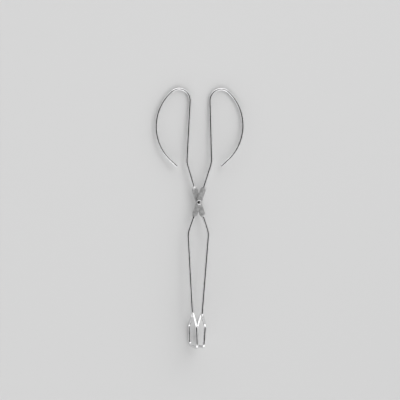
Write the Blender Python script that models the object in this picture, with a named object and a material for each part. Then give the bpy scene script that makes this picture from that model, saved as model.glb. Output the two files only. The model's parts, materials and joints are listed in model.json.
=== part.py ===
"""Riveted wire barbecue tongs, 270 mm long, lying on a table.

Two alike round-wire arms cross at a rivet. Each arm is pressed to a flat blade where they cross, and curls
into an open finger loop at the handle end. At the jaw end its wire goes on as a claw, a six-sided loop that
stands across the plane of the tongs and whose free end comes back to the wire, where it is welded. The claw
is an object of its own. The tongs are modelled in their own plane (X across, Y towards the handles, Z out of
the front), with the rivet's axis at the origin, and an empty then lays them on the table.
"""

import math

import bmesh
import bpy
import numpy as np

MM = 0.001

# Wire
WIRE_RADIUS = 1.5 * MM
WIRE_SIDES = 12
GAP = 0.3 * MM
BEND_RADIUS = 20 * MM
DEGREES_PER_STEP = 9

# Arm, handle side: a run out to the shank's bend, the shank, and the finger loop
HANDLE_RUN_ANGLE = math.radians(18.1)
SHANK_BEND_AT = 43.4 * MM
SHANK_LEAN = math.radians(2.4)
SHANK_TOP_Y = 104.6 * MM
LOOP_TIGHT_RADIUS = 12.1 * MM
LOOP_TIGHT_TURN = math.radians(132.5)
LOOP_WIDE_RADIUS = 46.4 * MM
LOOP_WIDE_TURN = math.radians(98)
LOOP_END_LENGTH = 10.4 * MM

# Arm, jaw side: a run out to the jaw's bend, and the straight jaw wire
JAW_RUN_ANGLE = math.radians(19.4)
JAW_BEND_AT = 33.8 * MM
JAW_TIP_X = 5.5 * MM
JAW_TIP_Y = 113.4 * MM

# Pressed blade round the rivet. A slightly thinner spot splits its outer face into facets, of which the outer
# ones are clear of the rivet's head.
BLADE_WIDTH = 6 * MM
BLADE_THICKNESS = 1.2 * MM
BLADE_EDGE = 0.495 * MM
BLADE_TO_HANDLE = 14.2 * MM
BLADE_TO_JAW = 13.3 * MM
SPOT_RADIUS = 5 * MM
SPOT_THICKNESS = 1.1 * MM
PRESS_RAMP = 4 * MM
RAMP_STEPS = 4

# Rivet
SHANK_RADIUS = 1.3 * MM
HEAD_RADIUS = 2.85 * MM
HEAD_HEIGHT = 1.8 * MM
TAIL_RADIUS = 2.3 * MM
TAIL_HEIGHT = 1.0 * MM
RIM_HEIGHT = 0.3 * MM
DOME_STEPS = 5
RIVET_SIDES = 24

# Claw: distances along the jaw from the end of the arm, and out to either side of the plane of the tongs
CLAW_LEAN = math.radians(3)
CLAW_TWIST = math.radians(1.8)
CLAW_NECK = 3.6 * MM
CLAW_KNEE = (14.9 * MM, 13.6 * MM)
CLAW_CORNER = (35.9 * MM, 13.2 * MM)
CLAW_FREE_SIDE_LONGER = 0.9 * MM
CLAW_FREE_END = (1.6 * MM, 3 * MM)
CLAW_NECK_RADIUS = 4 * MM
CLAW_KNEE_RADIUS = 5 * MM
CLAW_CORNER_RADIUS = 4.5 * MM

CHROME = (0.76, 0.76, 0.77)
CHROME_ROUGHNESS = 0.15
RIVET_STEEL = (0.55, 0.55, 0.56)
RIVET_ROUGHNESS = 0.3
SHARP_ANGLE = math.radians(40)

# Search for the tilt at which the tongs rest
MOST_TILT = math.radians(15)
TILT_HALVINGS = 40


def clear_scene():
    for old in list(bpy.data.objects):
        bpy.data.objects.remove(old, do_unlink=True)


def metal(name, colour, roughness):
    made = bpy.data.materials.new(name)
    made.use_nodes = True
    shader = made.node_tree.nodes["Principled BSDF"]
    shader.inputs["Base Color"].default_value = (*colour, 1)
    shader.inputs["Metallic"].default_value = 1
    shader.inputs["Roughness"].default_value = roughness
    return made


def arc_points(start, heading, radius, turn):
    """Points after start along an arc. Heading is an angle from +Y towards +X, as a positive turn is."""
    side = math.copysign(radius, turn)
    centre = np.array(start) + side * np.array([math.cos(heading), -math.sin(heading)])
    steps = max(2, math.ceil(abs(math.degrees(turn)) / DEGREES_PER_STEP))
    angles = heading + turn * np.arange(1, steps + 1) / steps
    return [centre + side * np.array([-math.cos(a), math.sin(a)]) for a in angles]


def heading_of(start, end):
    return math.atan2(end[0] - start[0], end[1] - start[1])


def rounded_line(corners):
    """A line through corners, each (point, radius); a corner of radius 0 stays as it is."""
    points = [np.array(corner, float) for corner, _ in corners]
    line = [points[0]]
    for i in range(1, len(points) - 1):
        radius = corners[i][1]
        if not radius:
            line.append(points[i])
            continue
        before = heading_of(points[i - 1], points[i])
        turn = (heading_of(points[i], points[i + 1]) - before + math.pi) % (2 * math.pi) - math.pi
        back = radius * math.tan(abs(turn) / 2)
        start = points[i] - back * np.array([math.sin(before), math.cos(before)])
        line += [start] + arc_points(start, before, radius, turn)
    return line + [points[-1]]


def round_profile():
    angles = (np.arange(WIRE_SIDES) + 0.5) * 2 * math.pi / WIRE_SIDES
    return WIRE_RADIUS * np.column_stack([np.cos(angles), np.sin(angles)])


def blade_profile(side, thickness):
    """A flat bar with rounded edges, in step with the round wire, on the front (+1) or back (-1) side."""
    inner = np.array([BLADE_WIDTH / 2 - BLADE_EDGE, thickness / 2 - BLADE_EDGE])
    per_corner = WIRE_SIDES // 4
    points = []
    for quarter, signs in enumerate(((1, 1), (-1, 1), (-1, -1), (1, -1))):
        for step in range(per_corner):
            angle = (quarter + step / (per_corner - 1)) * math.pi / 2
            points.append(inner * signs + BLADE_EDGE * np.array([math.cos(angle), math.sin(angle)]))
    return np.array(points) + [0, side * (thickness + GAP) / 2]


def arm_profile(point, side):
    """Round wire, pressed to a blade near the rivet, with a ramp between them."""
    distance = math.hypot(*point)
    blade_end = BLADE_TO_HANDLE if point[1] > 0 else BLADE_TO_JAW
    along = min(1, max(0, (distance - blade_end) / PRESS_RAMP))
    roundness = along * along * (3 - 2 * along)
    thickness = SPOT_THICKNESS + min(1, distance / SPOT_RADIUS) * (BLADE_THICKNESS - SPOT_THICKNESS)
    return roundness * round_profile() + (1 - roundness) * blade_profile(side, thickness)


def swept(name, points, across, profiles, material):
    """A solid with one profile at each 3-D point of a flat path. across is the path plane's normal."""
    points = [np.array(p, float) for p in points]
    across = np.array(across, float)
    mesh = bmesh.new()
    rings = []
    for i, point in enumerate(points):
        ways = [points[j + 1] - points[j] for j in (i - 1, i) if 0 <= j < len(points) - 1]
        along = sum(way / np.linalg.norm(way) for way in ways)
        sideways = np.cross(along / np.linalg.norm(along), across)
        rings.append([mesh.verts.new(point + u * sideways + v * across) for u, v in profiles[i]])
    for near, far in zip(rings, rings[1:]):
        for k in range(len(near)):
            n = (k + 1) % len(near)
            mesh.faces.new((near[k], near[n], far[n], far[k]))
    mesh.faces.new(rings[0])
    mesh.faces.new(rings[-1])
    return finished(name, mesh, material)


def turned(name, outline, sides, material):
    """A solid of revolution about Z. Outline runs from the top's centre to the bottom's, as (radius, z)."""
    mesh = bmesh.new()
    top = mesh.verts.new((0, 0, outline[0][1]))
    bottom = mesh.verts.new((0, 0, outline[-1][1]))
    angles = [2 * math.pi * k / sides for k in range(sides)]
    rings = []
    for radius, z in outline[1:-1]:
        rings.append([mesh.verts.new((radius * math.cos(a), radius * math.sin(a), z)) for a in angles])
    for k in range(sides):
        n = (k + 1) % sides
        mesh.faces.new((top, rings[0][k], rings[0][n]))
        mesh.faces.new((bottom, rings[-1][n], rings[-1][k]))
        for upper, lower in zip(rings, rings[1:]):
            mesh.faces.new((upper[k], lower[k], lower[n], upper[n]))
    return finished(name, mesh, material)


def finished(name, mesh, material):
    bmesh.ops.recalc_face_normals(mesh, faces=mesh.faces[:])
    data = bpy.data.meshes.new(name)
    mesh.to_mesh(data)
    mesh.free()
    data.shade_smooth()
    data.set_sharp_from_angle(angle=SHARP_ANGLE)
    data.materials.append(material)
    made = bpy.data.objects.new(name, data)
    bpy.context.scene.collection.objects.link(made)
    return made


def on_heading(angle, distance):
    return distance * math.sin(angle), distance * math.cos(angle)


def arm_line():
    """The front arm's centre line, from its jaw tip at -X to its finger loop's end at +X."""
    jaw = JAW_RUN_ANGLE + math.pi
    ramp = [PRESS_RAMP * step / RAMP_STEPS for step in range(RAMP_STEPS + 1)]
    shank_bend = on_heading(HANDLE_RUN_ANGLE, SHANK_BEND_AT)
    shank_top_x = shank_bend[0] - (SHANK_TOP_Y - shank_bend[1]) * math.tan(SHANK_LEAN)
    corners = [((-JAW_TIP_X, -JAW_TIP_Y), 0)]
    corners += [(on_heading(jaw, JAW_BEND_AT), BEND_RADIUS)]
    corners += [(on_heading(jaw, BLADE_TO_JAW + r), 0) for r in reversed(ramp)]
    corners += [(on_heading(jaw, SPOT_RADIUS), 0)]
    corners += [((0, 0), 0)]
    corners += [(on_heading(HANDLE_RUN_ANGLE, SPOT_RADIUS), 0)]
    corners += [(on_heading(HANDLE_RUN_ANGLE, BLADE_TO_HANDLE + r), 0) for r in ramp]
    corners += [(shank_bend, BEND_RADIUS)]
    corners += [((shank_top_x, SHANK_TOP_Y), 0)]
    line = rounded_line(corners)
    heading = -SHANK_LEAN
    for radius, turn in ((LOOP_TIGHT_RADIUS, LOOP_TIGHT_TURN), (LOOP_WIDE_RADIUS, LOOP_WIDE_TURN)):
        line += arc_points(line[-1], heading, radius, turn)
        heading += turn
    return line + [line[-1] + on_heading(heading, LOOP_END_LENGTH)]


def make_arm(name, side, hole, material):
    """side is +1 for the front arm and -1 for the back one, which is the same arm turned over about Y."""
    line = arm_line()
    points = [(side * x, y, 0) for x, y in line]
    arm = swept(name, points, (0, 0, 1), [arm_profile(p, side) for p in line], material)
    cut = arm.modifiers.new("rivet_hole", "BOOLEAN")
    cut.operation = "DIFFERENCE"
    cut.object = hole
    return arm


def claw_line():
    """The claw's wire from the arm to its free end, as (distance along the jaw, distance to free side)."""
    knee, knee_out = CLAW_KNEE
    corner, corner_out = CLAW_CORNER
    return rounded_line(
        [
            ((GAP, 0), 0),
            ((CLAW_NECK, 0), CLAW_NECK_RADIUS),
            ((knee, -knee_out), CLAW_KNEE_RADIUS),
            ((corner, -corner_out), CLAW_CORNER_RADIUS),
            ((corner + CLAW_FREE_SIDE_LONGER, corner_out), CLAW_CORNER_RADIUS),
            ((knee + CLAW_FREE_SIDE_LONGER, knee_out), CLAW_KNEE_RADIUS),
            (CLAW_FREE_END, 0),
        ]
    )


def make_claw(name, side, material):
    """The claw goes on from the jaw's tip, with its free side at the front on the front arm. Its front edge
    is twisted away from the other claw."""
    along = np.array([side * math.sin(CLAW_LEAN), -math.cos(CLAW_LEAN), 0])
    outward = np.array([-side * math.cos(CLAW_LEAN), -math.sin(CLAW_LEAN), 0])
    forward = math.cos(CLAW_TWIST) * np.array([0, 0, 1]) + math.sin(CLAW_TWIST) * outward
    start = np.array([-side * JAW_TIP_X, -JAW_TIP_Y, 0])
    line = claw_line()
    points = [start + a * along + side * d * forward for a, d in line]
    return swept(name, points, np.cross(along, forward), [round_profile()] * len(line), material)


def dome(radius, height, base):
    """The (radius, z) outline of a low dome on a thin rim, from its centre down to the foot of the rim."""
    rise = height - RIM_HEIGHT
    sphere = (radius**2 + rise**2) / (2 * rise)
    widest = math.asin(radius / sphere)
    angles = [widest * step / DOME_STEPS for step in range(DOME_STEPS + 1)]
    crown = [(sphere * math.sin(a), base + height - sphere * (1 - math.cos(a))) for a in angles]
    return crown + [(radius, base)]


def make_rivet(material):
    """The rivet's head and tail each sit a gap above a blade, and the blades are a gap apart."""
    seat = GAP / 2 + SPOT_THICKNESS + GAP
    head = dome(HEAD_RADIUS, HEAD_HEIGHT, seat)
    tail = [(r, -z) for r, z in reversed(dome(TAIL_RADIUS, TAIL_HEIGHT, seat))]
    outline = head + [(SHANK_RADIUS, seat), (SHANK_RADIUS, -seat)] + tail
    return turned("rivet", outline, RIVET_SIDES, material)


def make_hole_cutter(material):
    """A cylinder wider than the rivet's shank, hidden, that drills both blades."""
    reach = 2 * BLADE_THICKNESS
    radius = SHANK_RADIUS + GAP
    outline = [(0, reach), (radius, reach), (radius, -reach), (0, -reach)]
    cutter = turned("hole_cutter", outline, RIVET_SIDES, material)
    cutter.hide_render = True
    cutter.display_type = "WIRE"
    return cutter


def tilted(points, tilt):
    """The points turned about X so that the jaw end, at -Y, rises."""
    c, s = math.cos(tilt), math.sin(tilt)
    return points @ np.array([[1, 0, 0], [0, c, -s], [0, s, c]])


def resting_tilt(points):
    """The tilt at which the finger loops and the claws both touch the table."""
    low, high = 0, MOST_TILT
    for _ in range(TILT_HALVINGS):
        tilt = (low + high) / 2
        heights = tilted(points, tilt)[:, 2]
        if heights[points[:, 1] < 0].min() < heights[points[:, 1] > 0].min():
            low = tilt
        else:
            high = tilt
    return tilt


def resting_axis(pieces):
    """Makes the empty on the rivet's axis that lays the pieces on z = 0, with the middle of their outline at
    the origin."""
    points = np.array([corner.co for piece in pieces for corner in piece.data.vertices])
    tilt = resting_tilt(points)
    laid = tilted(points, tilt)
    lowest, highest = laid.min(axis=0), laid.max(axis=0)
    middle = (lowest + highest) / 2
    pivot = bpy.data.objects.new("pivot_axis", None)
    bpy.context.scene.collection.objects.link(pivot)
    pivot.rotation_euler = (-tilt, 0, 0)
    pivot.location = (-middle[0], -middle[1], -lowest[2])
    return pivot


def main():
    clear_scene()
    chrome = metal("chrome_wire", CHROME, CHROME_ROUGHNESS)
    rivet_steel = metal("rivet_steel", RIVET_STEEL, RIVET_ROUGHNESS)
    hole = make_hole_cutter(rivet_steel)
    pieces = [
        make_arm("front_arm", 1, hole, chrome),
        make_arm("back_arm", -1, hole, chrome),
        make_claw("front_claw", 1, chrome),
        make_claw("back_claw", -1, chrome),
        make_rivet(rivet_steel),
    ]
    pivot = resting_axis(pieces)
    for piece in [*pieces, hole]:
        piece.parent = pivot


main()
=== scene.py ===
"""Looks of the riveted wire barbecue tongs.

Each half is one length of chromed wire: finger loop, shank, pressed blade, jaw and claw, with the claw's
free end welded back to the jaw. The wires are drawn in the plane of the tongs (X across, Y towards the
handles, Z out of the front), with the rivet's axis at the origin, and the frame's joint says where that
plane lies.
"""

import json
import math

import bmesh
import bpy
import numpy as np
from mathutils import Matrix, Vector, noise


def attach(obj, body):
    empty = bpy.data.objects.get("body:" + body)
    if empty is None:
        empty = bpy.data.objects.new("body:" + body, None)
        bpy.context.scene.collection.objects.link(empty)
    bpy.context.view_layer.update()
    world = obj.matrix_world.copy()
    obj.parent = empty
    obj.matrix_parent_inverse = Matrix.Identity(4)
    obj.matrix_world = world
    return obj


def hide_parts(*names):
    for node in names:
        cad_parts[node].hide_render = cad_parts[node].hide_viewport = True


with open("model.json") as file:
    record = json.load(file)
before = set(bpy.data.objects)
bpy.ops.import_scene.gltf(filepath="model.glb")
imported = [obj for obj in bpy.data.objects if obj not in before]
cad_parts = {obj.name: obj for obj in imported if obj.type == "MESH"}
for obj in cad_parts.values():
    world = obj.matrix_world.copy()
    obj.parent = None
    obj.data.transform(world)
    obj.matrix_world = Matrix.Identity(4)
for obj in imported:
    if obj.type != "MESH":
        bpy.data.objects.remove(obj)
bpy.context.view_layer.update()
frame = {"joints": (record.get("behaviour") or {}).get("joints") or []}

MM = 0.001

# Faces that meet at more than this keep a sharp edge
SHARP_ANGLE = math.radians(45)

# The plane of the tongs, from the rivet's joint, whose axis points out of the back
JOINT = frame["joints"][0]
PIVOT = Vector(JOINT["pos_m"])
TILT = math.atan2(-JOINT["axis"][1], -JOINT["axis"][2])
TONGS_TO_WORLD = Matrix.Translation(PIVOT) @ Matrix.Rotation(-TILT, 4, "X")

# Wire: it has as many sides as the pressed blade's section has points
EDGE_POINTS = 8
FLAT_POINTS = 3
WIRE_SIDES = 4 * EDGE_POINTS + 2 * (FLAT_POINTS + 1)
WIRE_RADIUS = 1.5 * MM
STEP = 0.6 * MM
SMOOTHING_PASSES = 3
BEND_RADIUS = 20 * MM

# Arm, handle side
HANDLE_RUN_ANGLE = math.radians(18.1)
SHANK_BEND_AT = 43.4 * MM
SHANK_LEAN = math.radians(2.4)
SHANK_TOP_Y = 104.6 * MM
LOOP_TIGHT_RADIUS = 12.1 * MM
LOOP_TIGHT_TURN = math.radians(132.5)
LOOP_WIDE_RADIUS = 46.4 * MM
LOOP_WIDE_TURN = math.radians(98)
LOOP_END_LENGTH = 10.4 * MM

# Arm, jaw side
JAW_RUN_ANGLE = math.radians(19.4)
JAW_BEND_AT = 33.8 * MM
JAW_TIP_X = 5.5 * MM
JAW_TIP_Y = 113.4 * MM

# Pressed blade
BLADE_WIDTH = 6 * MM
BLADE_THICKNESS = 1.2 * MM
BLADE_GAP = 0.1 * MM
BLADE_EDGE = 0.5 * MM
BLADE_TO_HANDLE = 14.2 * MM
BLADE_TO_JAW = 13.3 * MM
PRESS_RAMP = 4 * MM
PRESS_STEP = 0.1
SHOULDER_WIDENING = 0.15 * MM

# Where the press ended, as shares of the ramp: the step's length, and the spread metal's place and reach
PRESS_STEP_LENGTH = 0.15
SHOULDER_AT = -0.2
SHOULDER_REACH = 0.5

# Rivet
HEAD_RADIUS = 2.85 * MM
HEAD_TOP = 3.3 * MM
HEAD_RIM = 0.35 * MM
SEAT_CLEARANCE = 0.02 * MM
DOME_FLATNESS = 2.5
DOME_STEPS = 24
RIM_EDGE_SHARE = 0.3
RIM_EDGE_INSET = 0.08 * MM
TAIL_RADIUS = 2.3 * MM
TAIL_BOTTOM = -2.5 * MM
TAIL_RIM = 0.2 * MM
TAIL_HOLLOW_RADIUS = 1.1 * MM
TAIL_HOLLOW_DEPTH = 0.55 * MM
SHANK_RADIUS = 1.3 * MM
HOLE_RADIUS = 1.4 * MM
DRILL_LENGTH = 6 * MM
RIVET_SIDES = 72

# Claw
CLAW_LEAN = math.radians(3)
CLAW_TWIST = math.radians(1.8)
CLAW_NECK = 3.6 * MM
CLAW_KNEE = (14.9 * MM, 13.6 * MM)
CLAW_CORNER = (35.9 * MM, 13.2 * MM)
CLAW_FREE_SIDE_LONGER = 0.9 * MM
CLAW_FREE_END = (1.6 * MM, 3 * MM)
CLAW_NECK_RADIUS = 4 * MM
CLAW_KNEE_RADIUS = 5 * MM
CLAW_CORNER_RADIUS = 4.5 * MM

# Weld between the claw's free end and the jaw, in the claw's own directions: along, to the free side, across
WELD_MIDDLE = (3.3 * MM, 1.7 * MM, 0)
WELD_HALF_SIZE = (2.4 * MM, 1.1 * MM, 0.95 * MM)
WELD_SLANT = 0.15
WELD_HEAT_REACH = 4 * MM
WELD_SUBDIVISIONS = 5

# Its unevenness on a ball of radius 1, and where in the noise the larger lumps are read, besides the side
WELD_LUMP_HEIGHT = 0.10
WELD_LUMP_SCALE = 1.7
WELD_LUMP_PLACE = (3, 5)
WELD_RIPPLE_HEIGHT = 0.04
WELD_RIPPLE_SCALE = 5

# Sheared wire end: rings as (distance from the end, size)
CUT_END = [(0, 0.86), (0.06 * MM, 0.95), (0.2 * MM, 0.992), (0.4 * MM, 1)]

# Camera: seen from the left of the plane's normal and a little from the handles
VIEW_YAW = math.radians(18.5)
VIEW_PITCH = math.radians(3)
VIEW_ROLL = math.radians(0.74)
VIEW_DISTANCE = 4.0
FRAME_WIDTH = 413.8 * MM
PIVOT_LEFT_OF_CENTRE = 1.3 * MM
PIVOT_BELOW_CENTRE = 2.4 * MM
SENSOR_WIDTH = 36
CLIP_END = 100

# Metals
CHROME = (0.81, 0.81, 0.815, 1)
CHROME_DULL = (0.72, 0.72, 0.725, 1)
SATIN = (0.68, 0.68, 0.68, 1)
SATIN_DULL = (0.48, 0.48, 0.48, 1)
HEAT_TINT = (0.36, 0.32, 0.28, 1)
RIVET_STEEL = (0.62, 0.62, 0.62, 1)
RIVET_DULL = (0.5, 0.5, 0.5, 1)
TINT_STRENGTH = 0.35

# Noise scales: the drawn wire's and the plating's for each millimetre, and the others for each metre
DRAWN_LINES = (7, 7, 0.07)
PLATING_RIPPLES = 0.35
PITS = 1300.0
HAMMER_MARKS = 900.0
SMUDGES = 330.0
RIVET_DENTS = 600.0
RIVET_FINE = 2500.0
WELD_GRAIN = 1100.0

# Roughness of smudged round wire, and what the drawn lines, clean places, pressing and heat add to it
SMUDGED_ROUGHNESS = 0.13
DRAWN_ROUGHNESS = 0.05
CLEAN_ROUGHNESS = -0.05
PRESSED_ROUGHNESS = 0.45
HEAT_ROUGHNESS = 0.12

# Roughness of the rivet and the weld, and what their grain adds to it
RIVET_ROUGHNESS = 0.14
RIVET_FINE_ROUGHNESS = 0.1
WELD_ROUGHNESS = 0.22
WELD_GRAIN_ROUGHNESS = 0.2

# Depths of the bumps, where a negative one goes inwards
DRAWN_DEPTH = 0.004 * MM
RIPPLE_DEPTH = 0.05 * MM
PIT_DEPTH = -0.01 * MM
HAMMER_DEPTH = 0.02 * MM
DENT_DEPTH = 0.05 * MM
RIVET_FINE_DEPTH = 0.004 * MM
WELD_GRAIN_DEPTH = 0.05 * MM

# Room: its shade by how near a direction is to the unlit patch, from 0 opposite it to 1 in its middle
ROOM_SHADES = ((0.0, 1.0), (0.5, 1.0), (0.82, 1.0), (0.89, 0.15), (0.93, 0.02), (1.0, 0.02))
ROOM_LEVEL = 0.85

# How much brighter the room is at the tongs' ends, and how closely that gathers round them, as an exponent
ROOM_END_BOOST = 1.4
ROOM_END_GATHERING = 3.0

# Floor and lights, in metres and watts
FLOOR_HALF_SIZE = 6
FLOOR_DROP = 0.05 * MM
FLOOR_GREY = (0.66, 0.66, 0.66, 1)
FLOOR_ROUGHNESS = 0.9
LIGHT_SIZE = 1.6
KEY_PLACE = (0.35, 1.1, 1.6)
KEY_POWER = 11
FILL_PLACE = (-0.6, -0.9, 1.7)
FILL_POWER = 8


# ---------------------------------------------------------------- centre lines


def on_heading(angle, distance):
    """A place at a distance, where the angle goes from +Y towards +X."""
    return np.array([distance * math.sin(angle), distance * math.cos(angle)])


def heading_of(start, end):
    """The angle of the way from one place to another."""
    return math.atan2(end[0] - start[0], end[1] - start[1])


def arc_points(start, heading, radius, turn):
    """Points after start along an arc. Heading is an angle from +Y towards +X, and a positive turn goes
    that way."""
    side = math.copysign(radius, turn)
    centre = np.array(start) + side * np.array([math.cos(heading), -math.sin(heading)])
    steps = max(3, math.ceil(radius * abs(turn) / STEP))
    angles = heading + turn * np.arange(1, steps + 1) / steps
    return [centre + side * np.array([-math.cos(a), math.sin(a)]) for a in angles]


def rounded_line(corners):
    """A line through corners, each (point, radius); a corner of radius 0 stays as it is."""
    points = [np.array(corner, float) for corner, _ in corners]
    line = [points[0]]
    for i in range(1, len(points) - 1):
        radius = corners[i][1]
        if not radius:
            line.append(points[i])
            continue
        before = heading_of(points[i - 1], points[i])
        turn = (heading_of(points[i], points[i + 1]) - before + math.pi) % (2 * math.pi) - math.pi
        back = radius * math.tan(abs(turn) / 2)
        start = points[i] - back * on_heading(before, 1)
        line += [start] + arc_points(start, before, radius, turn)
    return line + [points[-1]]


def arm_line():
    """The front arm's centre line, from its finger loop's end at +X to its jaw tip at -X."""
    shank_bend = on_heading(HANDLE_RUN_ANGLE, SHANK_BEND_AT)
    shank_top = (shank_bend[0] - (SHANK_TOP_Y - shank_bend[1]) * math.tan(SHANK_LEAN), SHANK_TOP_Y)
    jaw_bend = on_heading(JAW_RUN_ANGLE + math.pi, JAW_BEND_AT)
    line = rounded_line(
        [
            ((-JAW_TIP_X, -JAW_TIP_Y), 0),
            (jaw_bend, BEND_RADIUS),
            ((0, 0), 0),
            (shank_bend, BEND_RADIUS),
            (shank_top, 0),
        ]
    )
    heading = -SHANK_LEAN
    for radius, turn in ((LOOP_TIGHT_RADIUS, LOOP_TIGHT_TURN), (LOOP_WIDE_RADIUS, LOOP_WIDE_TURN)):
        line += arc_points(line[-1], heading, radius, turn)
        heading += turn
    line.append(line[-1] + on_heading(heading, LOOP_END_LENGTH))
    return line[::-1]


def claw_line():
    """The claw's wire as (distance along the jaw, distance to the free side)."""
    knee, knee_out = CLAW_KNEE
    corner, corner_out = CLAW_CORNER
    return rounded_line(
        [
            ((0, 0), 0),
            ((CLAW_NECK, 0), CLAW_NECK_RADIUS),
            ((knee, -knee_out), CLAW_KNEE_RADIUS),
            ((corner, -corner_out), CLAW_CORNER_RADIUS),
            ((corner + CLAW_FREE_SIDE_LONGER, corner_out), CLAW_CORNER_RADIUS),
            ((knee + CLAW_FREE_SIDE_LONGER, knee_out), CLAW_KNEE_RADIUS),
            (CLAW_FREE_END, 0),
        ]
    )


def claw_axes():
    """Directions of the front claw in the plane of the tongs: along the jaw, and out to its free side."""
    along = np.array([math.sin(CLAW_LEAN), -math.cos(CLAW_LEAN), 0])
    outward = np.array([-math.cos(CLAW_LEAN), -math.sin(CLAW_LEAN), 0])
    forward = math.cos(CLAW_TWIST) * np.array([0, 0, 1]) + math.sin(CLAW_TWIST) * outward
    return along, forward


def resampled(points):
    """The same line with its points evenly spaced, close to STEP apart, and its small kinks smoothed out."""
    points = np.array(points)
    lengths = np.concatenate([[0], np.cumsum(np.linalg.norm(np.diff(points, axis=0), axis=1))])
    count = round(lengths[-1] / STEP)
    even = np.linspace(0, lengths[-1], count + 1)
    line = np.column_stack([np.interp(even, lengths, points[:, k]) for k in range(3)])
    for _ in range(SMOOTHING_PASSES):
        line[1:-1] = 0.25 * line[:-2] + 0.5 * line[1:-1] + 0.25 * line[2:]
    return line


def wire_line():
    """The whole front wire, from the finger loop's cut end to the claw's free end."""
    along, forward = claw_axes()
    tip = np.array([-JAW_TIP_X, -JAW_TIP_Y, 0])
    arm = [(x, y, 0) for x, y in arm_line()]
    claw = [tip + a * along + d * forward for a, d in claw_line()]
    return resampled(arm + claw[1:])


# ---------------------------------------------------------------- wires


def smoothstep(x):
    """A smooth rise from 0 at 0 to 1 at 1."""
    x = np.clip(x, 0, 1)
    return x * x * (3 - 2 * x)


def pressed_share(point):
    """How much the wire is pressed at a point of its line, from 1 on the blade to 0 on the round wire, and
    how much wider its metal has spread there. The share falls by a small step where the press ended, and the
    rest of the way along the ramp."""
    distance = math.hypot(point[0], point[1])
    blade_end = BLADE_TO_HANDLE if point[1] > 0 else BLADE_TO_JAW
    along = (distance - blade_end) / PRESS_RAMP
    step = PRESS_STEP * smoothstep(along / PRESS_STEP_LENGTH)
    share = 1 - step - (1 - PRESS_STEP) * smoothstep(along)
    spread = SHOULDER_WIDENING * math.exp(-(((along - SHOULDER_AT) / SHOULDER_REACH) ** 2))
    return float(share), spread


def blade_section(half_width):
    """A flat bar with rounded edges, as (sideways, across) pairs in step with those of the round wire."""
    flat = np.linspace(1, -1, FLAT_POINTS + 2)[1:-1]
    inner = np.array([half_width - BLADE_EDGE, BLADE_THICKNESS / 2 - BLADE_EDGE])
    points = []
    for quarter, signs in enumerate(((1, 1), (-1, 1), (-1, -1), (1, -1))):
        turns = (quarter + np.linspace(0, 1, EDGE_POINTS)) * math.pi / 2
        if quarter in (0, 2):
            points.append([signs[0] * half_width, 0])
        points += [inner * signs + BLADE_EDGE * np.array([math.cos(t), math.sin(t)]) for t in turns]
        if quarter in (0, 2):
            points += [[signs[0] * x * inner[0], signs[1] * BLADE_THICKNESS / 2] for x in flat]
    return np.array(points)


def section(point):
    """The wire's section at a point of its line, as (sideways, across) pairs, and how much it is pressed."""
    angles = np.arange(WIRE_SIDES) * 2 * math.pi / WIRE_SIDES
    wire = WIRE_RADIUS * np.column_stack([np.cos(angles), np.sin(angles)])
    pressed, widening = pressed_share(point)
    if pressed <= 0:
        return wire, 0
    bar = blade_section(BLADE_WIDTH / 2 + widening) + [0, (BLADE_THICKNESS + BLADE_GAP) / 2]
    return pressed * bar + (1 - pressed) * wire, pressed


def line_frames(line):
    """For each point of a line, its direction and two directions across it, the second starting along Z."""
    directions = np.gradient(line, axis=0)
    directions /= np.linalg.norm(directions, axis=1)[:, None]
    across = np.array([0.0, 0.0, 1.0])
    frames = []
    for direction in directions:
        across = across - direction * np.dot(across, direction)
        across /= np.linalg.norm(across)
        frames.append((direction, np.cross(across, direction), across))
    return frames


def end_rings(i, last):
    """The rings at point i of a wire, as (place along it, size): one in its run, several on a sheared end."""
    if i == 0:
        return CUT_END
    if i == last:
        return [(-shift, size) for shift, size in reversed(CUT_END)]
    return [(0, 1)]


def make_wire(name, side, material):
    """Sweeps the wire's section along its line, with cut ends. side is -1 for the wire turned over about Y.
    Each point keeps how pressed and how heated it is, and its place on the wire as if that were straight."""
    line = wire_line()
    turn = np.diag([side, 1, side])
    weld_at = line[-1]
    mesh = bmesh.new()
    pressed_layer = mesh.verts.layers.float.new("pressed")
    heat_layer = mesh.verts.layers.float.new("heat")
    place_layer = mesh.verts.layers.float_vector.new("wire_place")
    radius = WIRE_RADIUS / MM
    angles = np.arange(WIRE_SIDES) * 2 * math.pi / WIRE_SIDES
    rings = []
    for i, (point, (direction, sideways, across)) in enumerate(zip(line, line_frames(line))):
        outline, pressed = section(point)
        heat = math.exp(-((np.linalg.norm(point - weld_at) / WELD_HEAT_REACH) ** 2))
        for shift, size in end_rings(i, len(line) - 1):
            ring = []
            for angle, (u, v) in zip(angles, outline * size):
                vert = mesh.verts.new(turn @ (point + direction * shift + u * sideways + v * across))
                vert[pressed_layer] = pressed
                vert[heat_layer] = heat
                vert[place_layer] = (radius * math.cos(angle), radius * math.sin(angle), i * STEP / MM)
                ring.append(vert)
            rings.append(ring)
    for near, far in zip(rings, rings[1:]):
        for k in range(WIRE_SIDES):
            n = (k + 1) % WIRE_SIDES
            mesh.faces.new((near[k], near[n], far[n], far[k]))
    mesh.faces.new(rings[0])
    mesh.faces.new(rings[-1])
    bmesh.ops.recalc_face_normals(mesh, faces=mesh.faces[:])
    wire = placed(name, mesh, material)
    drill(wire)
    return wire


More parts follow.
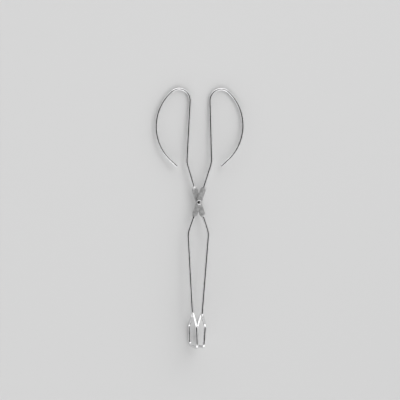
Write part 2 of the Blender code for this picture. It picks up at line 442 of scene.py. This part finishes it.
def drill(wire):
    """Cuts the rivet's hole through the blade."""
    mesh = bmesh.new()
    bmesh.ops.create_cone(
        mesh,
        cap_ends=True,
        segments=RIVET_SIDES,
        radius1=HOLE_RADIUS,
        radius2=HOLE_RADIUS,
        depth=DRILL_LENGTH,
    )
    drill_bit = placed("drill_bit", mesh, wire.data.materials[0])
    cut = wire.modifiers.new("rivet_hole", "BOOLEAN")
    cut.operation = "DIFFERENCE"
    cut.object = drill_bit
    drilled = bpy.data.meshes.new_from_object(wire.evaluated_get(bpy.context.evaluated_depsgraph_get()))
    wire.modifiers.remove(cut)
    wire.data = drilled
    bpy.data.objects.remove(drill_bit)


def make_weld(name, side, material):
    """The uneven nugget in the fork where the claw's free end meets the jaw's wire."""
    along, forward = claw_axes()
    flat = np.cross(along, forward)
    tip = np.array([-JAW_TIP_X, -JAW_TIP_Y, 0])
    turn = np.diag([side, 1, side])
    lump_place = Vector((*WELD_LUMP_PLACE, side))
    mesh = bmesh.new()
    bmesh.ops.create_icosphere(mesh, subdivisions=WELD_SUBDIVISIONS, radius=1)
    for vert in mesh.verts:
        unit = vert.co.copy()
        lumps = WELD_LUMP_HEIGHT * noise.noise(unit * WELD_LUMP_SCALE + lump_place)
        ripples = WELD_RIPPLE_HEIGHT * noise.noise(unit * WELD_RIPPLE_SCALE)
        uneven = unit * (1 + lumps + ripples)
        a, d, t = (middle + half * x for middle, half, x in zip(WELD_MIDDLE, WELD_HALF_SIZE, uneven))
        d += WELD_SLANT * (a - WELD_MIDDLE[0])
        vert.co = turn @ (tip + a * along + d * forward + t * flat)
    bmesh.ops.recalc_face_normals(mesh, faces=mesh.faces[:])
    return placed(name, mesh, material)


def placed(name, mesh, material):
    """The mesh as an object, moved from the plane of the tongs to where the tongs lie."""
    data = bpy.data.meshes.new(name)
    mesh.to_mesh(data)
    mesh.free()
    data.transform(TONGS_TO_WORLD)
    data.shade_smooth()
    data.set_sharp_from_angle(angle=SHARP_ANGLE)
    data.materials.append(material)
    made = bpy.data.objects.new(name, data)
    bpy.context.scene.collection.objects.link(made)
    return made


# ---------------------------------------------------------------- rivet


def turned(name, outline, sides, material):
    """A solid of revolution about Z. Its outline, as (radius, z), runs from top centre to bottom centre."""
    mesh = bmesh.new()
    top = mesh.verts.new((0, 0, outline[0][1]))
    bottom = mesh.verts.new((0, 0, outline[-1][1]))
    angles = [2 * math.pi * k / sides for k in range(sides)]
    rings = []
    for r, z in outline[1:-1]:
        rings.append([mesh.verts.new((r * math.cos(a), r * math.sin(a), z)) for a in angles])
    for k in range(sides):
        n = (k + 1) % sides
        mesh.faces.new((top, rings[0][k], rings[0][n]))
        mesh.faces.new((bottom, rings[-1][n], rings[-1][k]))
        for upper, lower in zip(rings, rings[1:]):
            mesh.faces.new((upper[k], lower[k], lower[n], upper[n]))
    bmesh.ops.recalc_face_normals(mesh, faces=mesh.faces[:])
    return placed(name, mesh, material)


def dome(radius, seat, top, rim):
    """The (radius, z) outline of a domed head from its centre down to its seat. The dome is flatter in its
    middle than an ellipse, whose flatness is 2, and ends in a short upright rim with a broken lower edge."""
    rise = top - seat - rim
    crown = [(0, top)]
    for step in range(1, DOME_STEPS + 1):
        angle = math.radians(90 * step / DOME_STEPS)
        out = radius * math.sin(angle) ** (2 / DOME_FLATNESS)
        crown.append((out, seat + rim + rise * max(0, math.cos(angle)) ** (2 / DOME_FLATNESS)))
    return crown + [(radius, seat + RIM_EDGE_SHARE * rim), (radius - RIM_EDGE_INSET, seat)]


def make_rivet(material):
    """The rivet: a domed head in front, and at the back a closed tail with the rolling tool's hollow."""
    seat = BLADE_THICKNESS + BLADE_GAP / 2 + SEAT_CLEARANCE
    head = dome(HEAD_RADIUS, seat, HEAD_TOP, HEAD_RIM)
    rolled = dome(TAIL_RADIUS, seat, -TAIL_BOTTOM, TAIL_RIM)
    hollowed = [(r, z - TAIL_HOLLOW_DEPTH * max(0, 1 - (r / TAIL_HOLLOW_RADIUS) ** 2)) for r, z in rolled]
    tail = [(r, -z) for r, z in reversed(hollowed)]
    outline = head + [(SHANK_RADIUS, seat), (SHANK_RADIUS, -seat)] + tail
    return turned("rivet_with_head", outline, RIVET_SIDES, material)


# ---------------------------------------------------------------- materials


def add_node(tree, kind, settings=None, **inputs):
    """Adds a node and gives its first output. Each input is a value, or a socket that is linked to it. A name
    such as _0 is an input's number, and other underscores stand for spaces."""
    made = tree.nodes.new("ShaderNode" + kind)
    for name, value in (settings or {}).items():
        setattr(made, name, value)
    for name, value in inputs.items():
        socket = made.inputs[int(name[1:])] if name[1:].isdigit() else made.inputs[name.replace("_", " ")]
        if isinstance(value, bpy.types.NodeSocket):
            tree.links.new(value, socket)
        else:
            socket.default_value = value
    return made.outputs[0]


def maths(tree, operation, first, second=0.5, third=0.5):
    """One step of arithmetic on values or sockets."""
    return add_node(tree, "Math", {"operation": operation}, _0=first, _1=second, _2=third)


def grain(tree, place, scale, detail=2.0, low=0.3, high=0.7):
    """Noise at a place, spread so that low to high becomes 0 to 1."""
    raw = add_node(tree, "TexNoise", Vector=place, Scale=scale, Detail=detail)
    return add_node(tree, "MapRange", _0=raw, _1=low, _2=high)


def stretched(tree, place, scale):
    """A place with each direction scaled on its own."""
    return add_node(tree, "VectorMath", {"operation": "MULTIPLY"}, _0=place, _1=scale)


def mixed(tree, share, first, second):
    """The first colour where share is 0, and the second where it is 1."""
    return add_node(tree, "Mix", {"data_type": "RGBA"}, _0=share, _6=first, _7=second).node.outputs[2]


def attribute(tree, name, output):
    """What the mesh's points keep under a name."""
    made = tree.nodes.new("ShaderNodeAttribute")
    made.attribute_name = name
    return made.outputs[output]


def object_place(tree):
    """The place in the piece itself, in metres, so that noise moves with it."""
    return add_node(tree, "TexCoord").node.outputs["Object"]


def new_metal(name):
    """A metal, its node tree and its shader."""
    made = bpy.data.materials.new(name)
    made.use_nodes = True
    shader = made.node_tree.nodes["Principled BSDF"]
    shader.inputs["Metallic"].default_value = 1
    return made, made.node_tree, shader


def bumped(tree, shader, heights):
    """Chains bumps, each (height socket, depth in metres), into the shader's normal."""
    normal = None
    for height, depth in heights:
        inputs = {"Height": height, "Distance": depth, "Strength": 1.0}
        if normal:
            inputs["Normal"] = normal
        normal = add_node(tree, "Bump", **inputs)
    tree.links.new(normal, shader.inputs["Normal"])


def make_chrome():
    """Bright plating over drawn wire: fine lines along the wire, slow ripples and small pits in the plating,
    grey smudges, a satin blade with press marks, and a dull straw tint where the weld's heat reached."""
    made, tree, shader = new_metal("chrome_wire")
    place = attribute(tree, "wire_place", "Vector")
    solid = object_place(tree)
    pressed = attribute(tree, "pressed", "Fac")
    heat = attribute(tree, "heat", "Fac")
    drawn = grain(tree, stretched(tree, place, DRAWN_LINES), 1.0, detail=3.0)
    ripples = grain(tree, place, PLATING_RIPPLES, detail=1.0)
    pits = grain(tree, solid, PITS, low=0.62, high=0.72)
    hammered = grain(tree, solid, HAMMER_MARKS, detail=3.0)
    clean = grain(tree, solid, SMUDGES, low=0.35, high=0.65)
    plated = mixed(tree, clean, CHROME_DULL, CHROME)
    satin = mixed(tree, clean, SATIN_DULL, SATIN)
    metal = mixed(tree, pressed, plated, satin)
    tint = maths(tree, "MULTIPLY", heat, TINT_STRENGTH)
    tree.links.new(mixed(tree, tint, metal, HEAT_TINT), shader.inputs["Base Color"])
    rough = maths(tree, "MULTIPLY_ADD", drawn, DRAWN_ROUGHNESS, SMUDGED_ROUGHNESS)
    for feature, added in ((clean, CLEAN_ROUGHNESS), (pressed, PRESSED_ROUGHNESS), (heat, HEAT_ROUGHNESS)):
        rough = maths(tree, "MULTIPLY_ADD", feature, added, rough)
    tree.links.new(rough, shader.inputs["Roughness"])
    marks = maths(tree, "MULTIPLY", hammered, pressed)
    heights = ((drawn, DRAWN_DEPTH), (ripples, RIPPLE_DEPTH), (pits, PIT_DEPTH), (marks, HAMMER_DEPTH))
    bumped(tree, shader, heights)
    return made


def make_rivet_steel():
    """Plated steel with a fine grain and a few dents."""
    made, tree, shader = new_metal("rivet_steel")
    solid = object_place(tree)
    dents = grain(tree, solid, RIVET_DENTS, detail=1.0)
    fine = grain(tree, solid, RIVET_FINE)
    tree.links.new(mixed(tree, fine, RIVET_DULL, RIVET_STEEL), shader.inputs["Base Color"])
    rough = maths(tree, "MULTIPLY_ADD", fine, RIVET_FINE_ROUGHNESS, RIVET_ROUGHNESS)
    tree.links.new(rough, shader.inputs["Roughness"])
    bumped(tree, shader, ((dents, DENT_DEPTH), (fine, RIVET_FINE_DEPTH)))
    return made


def make_weld_metal():
    """The weld is plated over too, but dull, grey and grainy."""
    made, tree, shader = new_metal("weld_metal")
    lumps = grain(tree, object_place(tree), WELD_GRAIN, detail=3.0)
    tree.links.new(mixed(tree, lumps, HEAT_TINT, CHROME_DULL), shader.inputs["Base Color"])
    rough = maths(tree, "MULTIPLY_ADD", lumps, WELD_GRAIN_ROUGHNESS, WELD_ROUGHNESS)
    tree.links.new(rough, shader.inputs["Roughness"])
    bumped(tree, shader, ((lumps, WELD_GRAIN_DEPTH),))
    return made


# ---------------------------------------------------------------- studio


def make_floor():
    """Plain pale paper, just below the lowest point of the tongs."""
    mesh = bmesh.new()
    bmesh.ops.create_grid(mesh, x_segments=1, y_segments=1, size=FLOOR_HALF_SIZE)
    data = bpy.data.meshes.new("floor")
    mesh.to_mesh(data)
    mesh.free()
    data.transform(Matrix.Translation((0, 0, -FLOOR_DROP)))
    material = bpy.data.materials.new("floor_paper")
    material.use_nodes = True
    shader = material.node_tree.nodes["Principled BSDF"]
    shader.inputs["Base Color"].default_value = FLOOR_GREY
    shader.inputs["Roughness"].default_value = FLOOR_ROUGHNESS
    data.materials.append(material)
    floor = bpy.data.objects.new("floor", data)
    bpy.context.scene.collection.objects.link(floor)


def make_light(name, place, power):
    """A soft box aimed at the tongs, which lights the floor. The metal doesn't reflect it, only the room."""
    data = bpy.data.lights.new(name, "AREA")
    data.shape = "SQUARE"
    data.size = LIGHT_SIZE
    data.energy = power
    light = bpy.data.objects.new(name, data)
    bpy.context.scene.collection.objects.link(light)
    light.location = place
    light.rotation_mode = "QUATERNION"
    light.rotation_quaternion = (-Vector(place)).to_track_quat("-Z", "Y")
    light.visible_glossy = False


def towards_camera():
    """The direction from the tongs to the camera, in the coordinates that the wires are drawn in."""
    level = Vector((-math.sin(VIEW_YAW), 0, math.cos(VIEW_YAW)))
    return level * math.cos(VIEW_PITCH) + Vector((0, math.sin(VIEW_PITCH), 0))


def make_world():
    """A pale room, brightest at both ends of the tongs, with an unlit patch round the camera that the metal
    reflects as the dark core of its wires."""
    world = bpy.data.worlds.new("studio")
    bpy.context.scene.world = world
    world.use_nodes = True
    tree = world.node_tree
    direction = add_node(tree, "TexCoord")
    patch = TONGS_TO_WORLD.to_3x3() @ towards_camera()
    product = add_node(tree, "VectorMath", {"operation": "DOT_PRODUCT"}, _0=direction, _1=patch).node
    nearness = maths(tree, "MULTIPLY_ADD", product.outputs["Value"], 0.5, 0.5)
    ramp = add_node(tree, "ValToRGB", Fac=nearness).node
    elements = ramp.color_ramp.elements
    elements[0].position, elements[1].position = ROOM_SHADES[0][0], ROOM_SHADES[-1][0]
    for position, _ in ROOM_SHADES[1:-1]:
        elements.new(position)
    for element, (_, shade) in zip(elements, ROOM_SHADES):
        element.color = (shade, shade, shade, 1)
    lengthwise = add_node(tree, "SeparateXYZ", _0=direction).node.outputs["Y"]
    end = maths(tree, "POWER", maths(tree, "ABSOLUTE", lengthwise), ROOM_END_GATHERING)
    strength = maths(tree, "MULTIPLY_ADD", end, ROOM_END_BOOST, ROOM_LEVEL)
    background = tree.nodes["Background"]
    tree.links.new(ramp.outputs["Color"], background.inputs["Color"])
    tree.links.new(strength, background.inputs["Strength"])


def show_plainly():
    """Shows pale greys and bright metal without the default view's compression."""
    bpy.context.scene.view_settings.view_transform = "Standard"


def make_camera():
    """The camera, far from the tongs with a long lens, aimed close to the rivet."""
    data = bpy.data.cameras.new("camera")
    data.sensor_width = SENSOR_WIDTH
    data.lens = SENSOR_WIDTH * VIEW_DISTANCE / FRAME_WIDTH
    data.clip_end = CLIP_END
    camera = bpy.data.objects.new("camera", data)
    bpy.context.scene.collection.objects.link(camera)
    back = towards_camera()
    right = Vector((0, 1, 0)).cross(back).normalized()
    up = back.cross(right)
    tilted_right = right * math.cos(VIEW_ROLL) + up * math.sin(VIEW_ROLL)
    tilted_up = up * math.cos(VIEW_ROLL) - right * math.sin(VIEW_ROLL)
    place = back * VIEW_DISTANCE + tilted_right * PIVOT_LEFT_OF_CENTRE + tilted_up * PIVOT_BELOW_CENTRE
    turn = Matrix((tilted_right, tilted_up, back)).transposed().to_4x4()
    camera.matrix_world = TONGS_TO_WORLD @ Matrix.Translation(place) @ turn
    bpy.context.scene.camera = camera


# ---------------------------------------------------------------- the whole


chrome = make_chrome()
weld_metal = make_weld_metal()
for half, side in (("front", 1), ("back", -1)):
    wire = make_wire(half + "_wire", side, chrome)
    weld = make_weld(half + "_weld", side, weld_metal)
    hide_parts(half + "_arm", half + "_claw")
    for piece in (wire, weld):
        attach(piece, half + "_half")
rivet = make_rivet(make_rivet_steel())
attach(rivet, "back_half")
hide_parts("rivet")

make_floor()
make_world()
make_light("key", KEY_PLACE, KEY_POWER)
make_light("fill", FILL_PLACE, FILL_POWER)
make_camera()
show_plainly()
